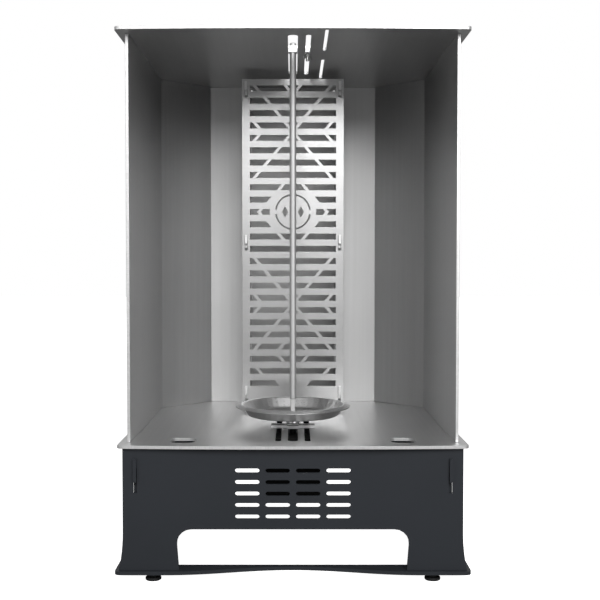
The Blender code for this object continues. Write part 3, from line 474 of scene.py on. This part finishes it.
def make_materials():
    pan, rod = tuple(middle_of("drip_pan")), tuple(middle_of("spit_rod"))
    return {
        "side_sheet": brushed_metal("steel_grain_up_side", "z", STEEL, WALL_ROUGH, "x"),
        # painted shade: the back wall and the grate take darker copies of the sheet steel
        "front_sheet": brushed_metal("steel_grain_up_front_painted_shade", "z", BACK_STEEL_PAINTED_SHADE, BACK_ROUGH, "y"),
        "grate_sheet": brushed_metal("steel_grate_painted_shade", "x", GRATE_STEEL_PAINTED_SHADE, GRATE_ROUGH, "y"),
        "flat_sheet": brushed_metal("steel_grain_deep", "y", STEEL, DECK_ROUGH, "z", DECK_BUMP),
        # painted shade: the roof takes a darker copy of the sheet steel
        "roof_sheet": brushed_metal("steel_grain_deep_roof_painted_shade", "y", ROOF_STEEL_PAINTED_SHADE, DECK_ROUGH, "z", DECK_BUMP),
        # painted shade: the bright stainless is darkened to hold down its reflection
        "bright_flat": brushed_metal("bright_grain_across_painted_shade", "x", PLATE_STEEL_PAINTED_SHADE, PLATE_ROUGH, "z"),
        "bright_rod": brushed_metal("bright_turned_rod", "round", ROD_STEEL, ROD_ROUGH, centre=rod),
        "bright_pan": brushed_metal("bright_spun_pan", "round", PAN_STEEL, PAN_ROUGH,
                                    anisotropy=PAN_ANISOTROPY, centre=pan),
        "coat": powder_coat("powder_coat_blue_grey", COAT, COAT_ROUGH, COAT_SHINE),
        "zinc": plated("zinc_plate", ZINC, ZINC_ROUGH),
        "pale_zinc": plated("zinc_plate_matt", ZINC, MATT_ZINC_ROUGH),
        # painted shade: near-black zinc for the parts seen through the deck slots
        "black_zinc": plated("zinc_plate_painted_black_shade", ZINC_PAINTED_BLACK_SHADE, ZINC_PAINTED_BLACK_SHADE_ROUGH),
        # black paint, partly painted shade for the deck slots
        "motor_paint": moulded("motor_black_paint_and_slot_shade", MOTOR_BLACK_AND_SLOT_SHADE, MOTOR_ROUGH, MOTOR_SHINE),
        "plastic": moulded("black_moulding", BLACK, PLASTIC_ROUGH),
        "rubber": moulded("black_rubber", BLACK, RUBBER_ROUGH),
    }


# ---------------------------------------------------------------- finishing the CAD nodes

NODE_FINISH = {
    "left_wall": "side_sheet", "right_wall": "side_sheet",
    "firebox_left_side": "side_sheet", "firebox_right_side": "side_sheet",
    "back_wall": "front_sheet", "grate": "grate_sheet", "roof_plate": "roof_sheet",
    "drip_pan": "bright_pan", "drive_socket": "bright_pan", "spit_rod": "bright_rod",
    # The output shaft and the carriage studs take near-black zinc as painted shade in the deck slots
    "output_shaft": "black_zinc", "carriage_stud_left": "black_zinc", "carriage_stud_right": "black_zinc",
    "wing_nut": "pale_zinc",
}
SLOT_FINISH = {
    # the bright stainless finish here is darkened as painted shade
    "stainless_sheet": "flat_sheet", "stainless_bright": "bright_flat", "powder_coat": "coat", "zinc": "zinc",
    # the motor's black paint is darkened to near zero as painted shade for the deck slots
    "black_paint": "motor_paint", "black_plastic": "plastic", "black_rubber": "rubber",
}
FINISH_ROUND = {"side_sheet": WALL_ROUND, "coat": COAT_ROUND}


def ease_edges(obj, width):
    """Join the imported mesh's split edges and round its sharp ones."""
    weld = obj.modifiers.new("weld", "WELD")
    weld.merge_threshold = WELD_GAP
    flat = obj.modifiers.new("flat", "DECIMATE")
    flat.decimate_type = "DISSOLVE"
    flat.angle_limit = FLAT_ANGLE
    round_off = obj.modifiers.new("round_off", "BEVEL")
    round_off.width = width
    round_off.segments = ROUND_SEGMENTS
    round_off.limit_method = "ANGLE"
    round_off.angle_limit = ROUND_ANGLE
    round_off.harden_normals = True


def finish_nodes(materials):
    for name, obj in nodes.items():
        finish = NODE_FINISH.get(name, SLOT_FINISH[slots[name]])
        obj.data.materials.clear()
        obj.data.materials.append(materials[finish])
        ease_edges(obj, FINISH_ROUND.get(finish, EDGE_ROUND))


# ---------------------------------------------------------------- small detail that the CAD leaves out

def add_piece(name, bm, body, material):
    bmesh.ops.recalc_face_normals(bm, faces=bm.faces)
    mesh = bpy.data.meshes.new(name)
    bm.to_mesh(mesh)
    bm.free()
    piece = bpy.data.objects.new(name, mesh)
    bpy.context.collection.objects.link(piece)
    mesh.materials.append(material)
    for polygon in mesh.polygons:
        polygon.use_smooth = True
    mesh.set_sharp_from_angle(angle=SMOOTH_ANGLE)
    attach(piece, body)


def loft(rows):
    """Skin rings of equally many points, and close the first and the last."""
    bm = bmesh.new()
    rings = [[bm.verts.new(point) for point in row] for row in rows]
    for low, high in zip(rings, rings[1:]):
        for i in range(len(low)):
            k = (i + 1) % len(low)
            bm.faces.new((low[i], low[k], high[k], high[i]))
    bm.faces.new(reversed(rings[0]))
    bm.faces.new(rings[-1])
    return bm


def screw_ring(radius, height, hexagon):
    """A circle, or a hexagon whose corners lie on that circle."""
    points = []
    for i in range(TURN_STEPS):
        angle = tau * i / TURN_STEPS
        reach = radius * cos(pi / 6) / cos(angle % (pi / 3) - pi / 6) if hexagon else radius
        points.append(Vector((reach * cos(angle), reach * sin(angle), height)))
    return points


def socket_screw(name, at, outward, body, material):
    """A domed screw head with a hexagon socket, seated on a face."""
    rows = [screw_ring(r * SCREW_R, h * SCREW_H, hexagon) for r, h, hexagon in SCREW_PROFILE]
    turn = Vector((0, 0, 1)).rotation_difference(Vector(outward))
    placed = [[turn @ point + Vector(at) for point in row] for row in rows]
    add_piece(name, loft(placed), body, material)


def thread(name, centre, radius, low, high, pitch, body, material):
    """A raised helical ridge that fades out at both ends."""
    depth, half = THREAD_DEPTH * pitch, THREAD_HALF * pitch
    root = radius - THREAD_SUNK
    count = int((high - low - 2 * half) / pitch * THREAD_STEPS)
    rows = []
    for i in range(count + 1):
        angle = tau * i / THREAD_STEPS
        z = low + half + pitch * i / THREAD_STEPS
        fade = min(1.0, i / FADE_STEPS, (count - i) / FADE_STEPS)
        section = ((root, -half), (root, half), (radius + depth * fade, 0.0))
        rows.append([(centre[0] + r * cos(angle), centre[1] + r * sin(angle), z + dz) for r, dz in section])
    add_piece(name, loft(rows), body, material)


def add_screws(materials):
    """Four screws in the motor's rear plate and four in its bottom cover."""
    low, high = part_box("motor_rear_plate")
    places = [(x, z) for x in (low[0] + SCREW_INSET, high[0] - SCREW_INSET)
              for z in (low[2] + SCREW_INSET, high[2] - SCREW_INSET)]
    for i, (x, z) in enumerate(places, 1):
        socket_screw(f"motor_rear_screw_{i}", (x, high[1], z), (0, 1, 0), "carriage", materials["zinc"])
    low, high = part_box("motor_bottom_cover")
    places = [(x, y) for x in (low[0] + SCREW_INSET, high[0] - SCREW_INSET)
              for y in (low[1] + SCREW_INSET, high[1] - SCREW_INSET)]
    for i, (x, y) in enumerate(places, 1):
        socket_screw(f"motor_cover_screw_{i}", (x, y, low[2]), (0, 0, -1), "carriage", materials["zinc"])


def add_threads(materials):
    """The levelling studs' threads above their jam nuts, and the guide bolt's below its wing nut."""
    for corner in ("front_left", "front_right", "rear_left", "rear_right"):
        nut_top, stud_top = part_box("jam_nut_" + corner)[1][2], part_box("foot_" + corner)[1][2]
        thread("foot_thread_" + corner, middle_of("foot_" + corner), STUD_R, nut_top + STUD_GAPS[0],
               stud_top - STUD_GAPS[1], STUD_PITCH, "foot_" + corner, materials["plastic"])
    bolt_end, hub_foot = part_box("guide_bolt")[0][2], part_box("wing_nut")[1][2] - NUT_HUB_HEIGHT
    thread("guide_bolt_thread", middle_of("guide_bolt"), BOLT_R, bolt_end + BOLT_GAPS[0],
           hub_foot - BOLT_GAPS[1], BOLT_PITCH, "guide", materials["zinc"])


# ---------------------------------------------------------------- everything

bpy.context.scene.view_settings.view_transform = "Standard"
add_camera()
add_world()
add_floor()
add_lights()
materials = make_materials()
finish_nodes(materials)
add_screws(materials)
add_threads(materials)
